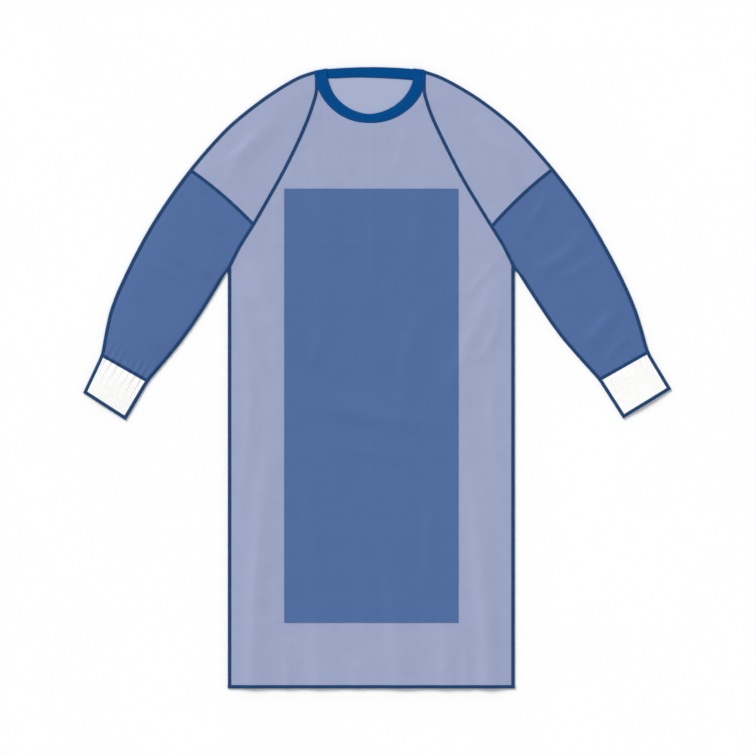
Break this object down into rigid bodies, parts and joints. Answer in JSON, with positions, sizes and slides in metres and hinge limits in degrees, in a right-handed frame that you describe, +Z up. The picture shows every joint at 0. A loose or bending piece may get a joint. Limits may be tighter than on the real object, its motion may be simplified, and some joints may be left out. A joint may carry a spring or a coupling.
{
  "type": "surgical gown",
  "caption": "Surgical gown laid flat, front up, sleeves spread: reinforced front and lower sleeves, knit cuffs and neck band, bound seams, back open with one flap lapped over the other.",
  "frame": {"origin": "on the flat underside, on the body's centre line, half way down the gown, on the outer back flap's lower face", "axes": "+Y from the hem towards the neck, +Z up, out of the gown's front, +X towards the wearer's left sleeve"},
  "size_m": [1.177, 1.2432, 0.0092],
  "materials": {
    "light_cloth": "matt bonded nonwoven, light blue",
    "dark_laminate": "nonwoven with a film layer, mid blue, slightly smooth",
    "white_knit": "matt white rib knit",
    "dark_knit": "matt dark blue knit band",
    "dark_tape": "matt dark blue woven tape"
  },
  "bodies": {
    "root": {"front_panel": "light_cloth", "front_reinforcement": "dark_laminate", "back_panel_inner": "light_cloth", "back_panel_outer": "light_cloth", "neckband_front": "dark_knit", "neckband_back_inner": "dark_knit", "neckband_back_outer": "dark_knit", "hem_binding_front": "dark_tape", "hem_binding_back_inner": "dark_tape", "hem_binding_back_outer": "dark_tape", "sleeve_right_upper_front": "light_cloth", "sleeve_right_lower_front": "dark_laminate", "cuff_right_front": "white_knit", "cuff_end_binding_right_front": "dark_tape", "sleeve_right_upper_back": "light_cloth", "sleeve_right_lower_back": "dark_laminate", "cuff_right_back": "white_knit", "cuff_end_binding_right_back": "dark_tape", "raglan_tape_right": "dark_tape", "sleeve_joint_tape_right": "dark_tape", "cuff_joint_tape_right": "dark_tape", "overarm_binding_right": "dark_tape", "underarm_binding_right": "dark_tape", "side_binding_right": "dark_tape", "sleeve_left_upper_front": "light_cloth", "sleeve_left_lower_front": "dark_laminate", "cuff_left_front": "white_knit", "cuff_end_binding_left_front": "dark_tape", "sleeve_left_upper_back": "light_cloth", "sleeve_left_lower_back": "dark_laminate", "cuff_left_back": "white_knit", "cuff_end_binding_left_back": "dark_tape", "raglan_tape_left": "dark_tape", "sleeve_joint_tape_left": "dark_tape", "cuff_joint_tape_left": "dark_tape", "overarm_binding_left": "dark_tape", "underarm_binding_left": "dark_tape", "side_binding_left": "dark_tape"}
  },
  "joints": []
}
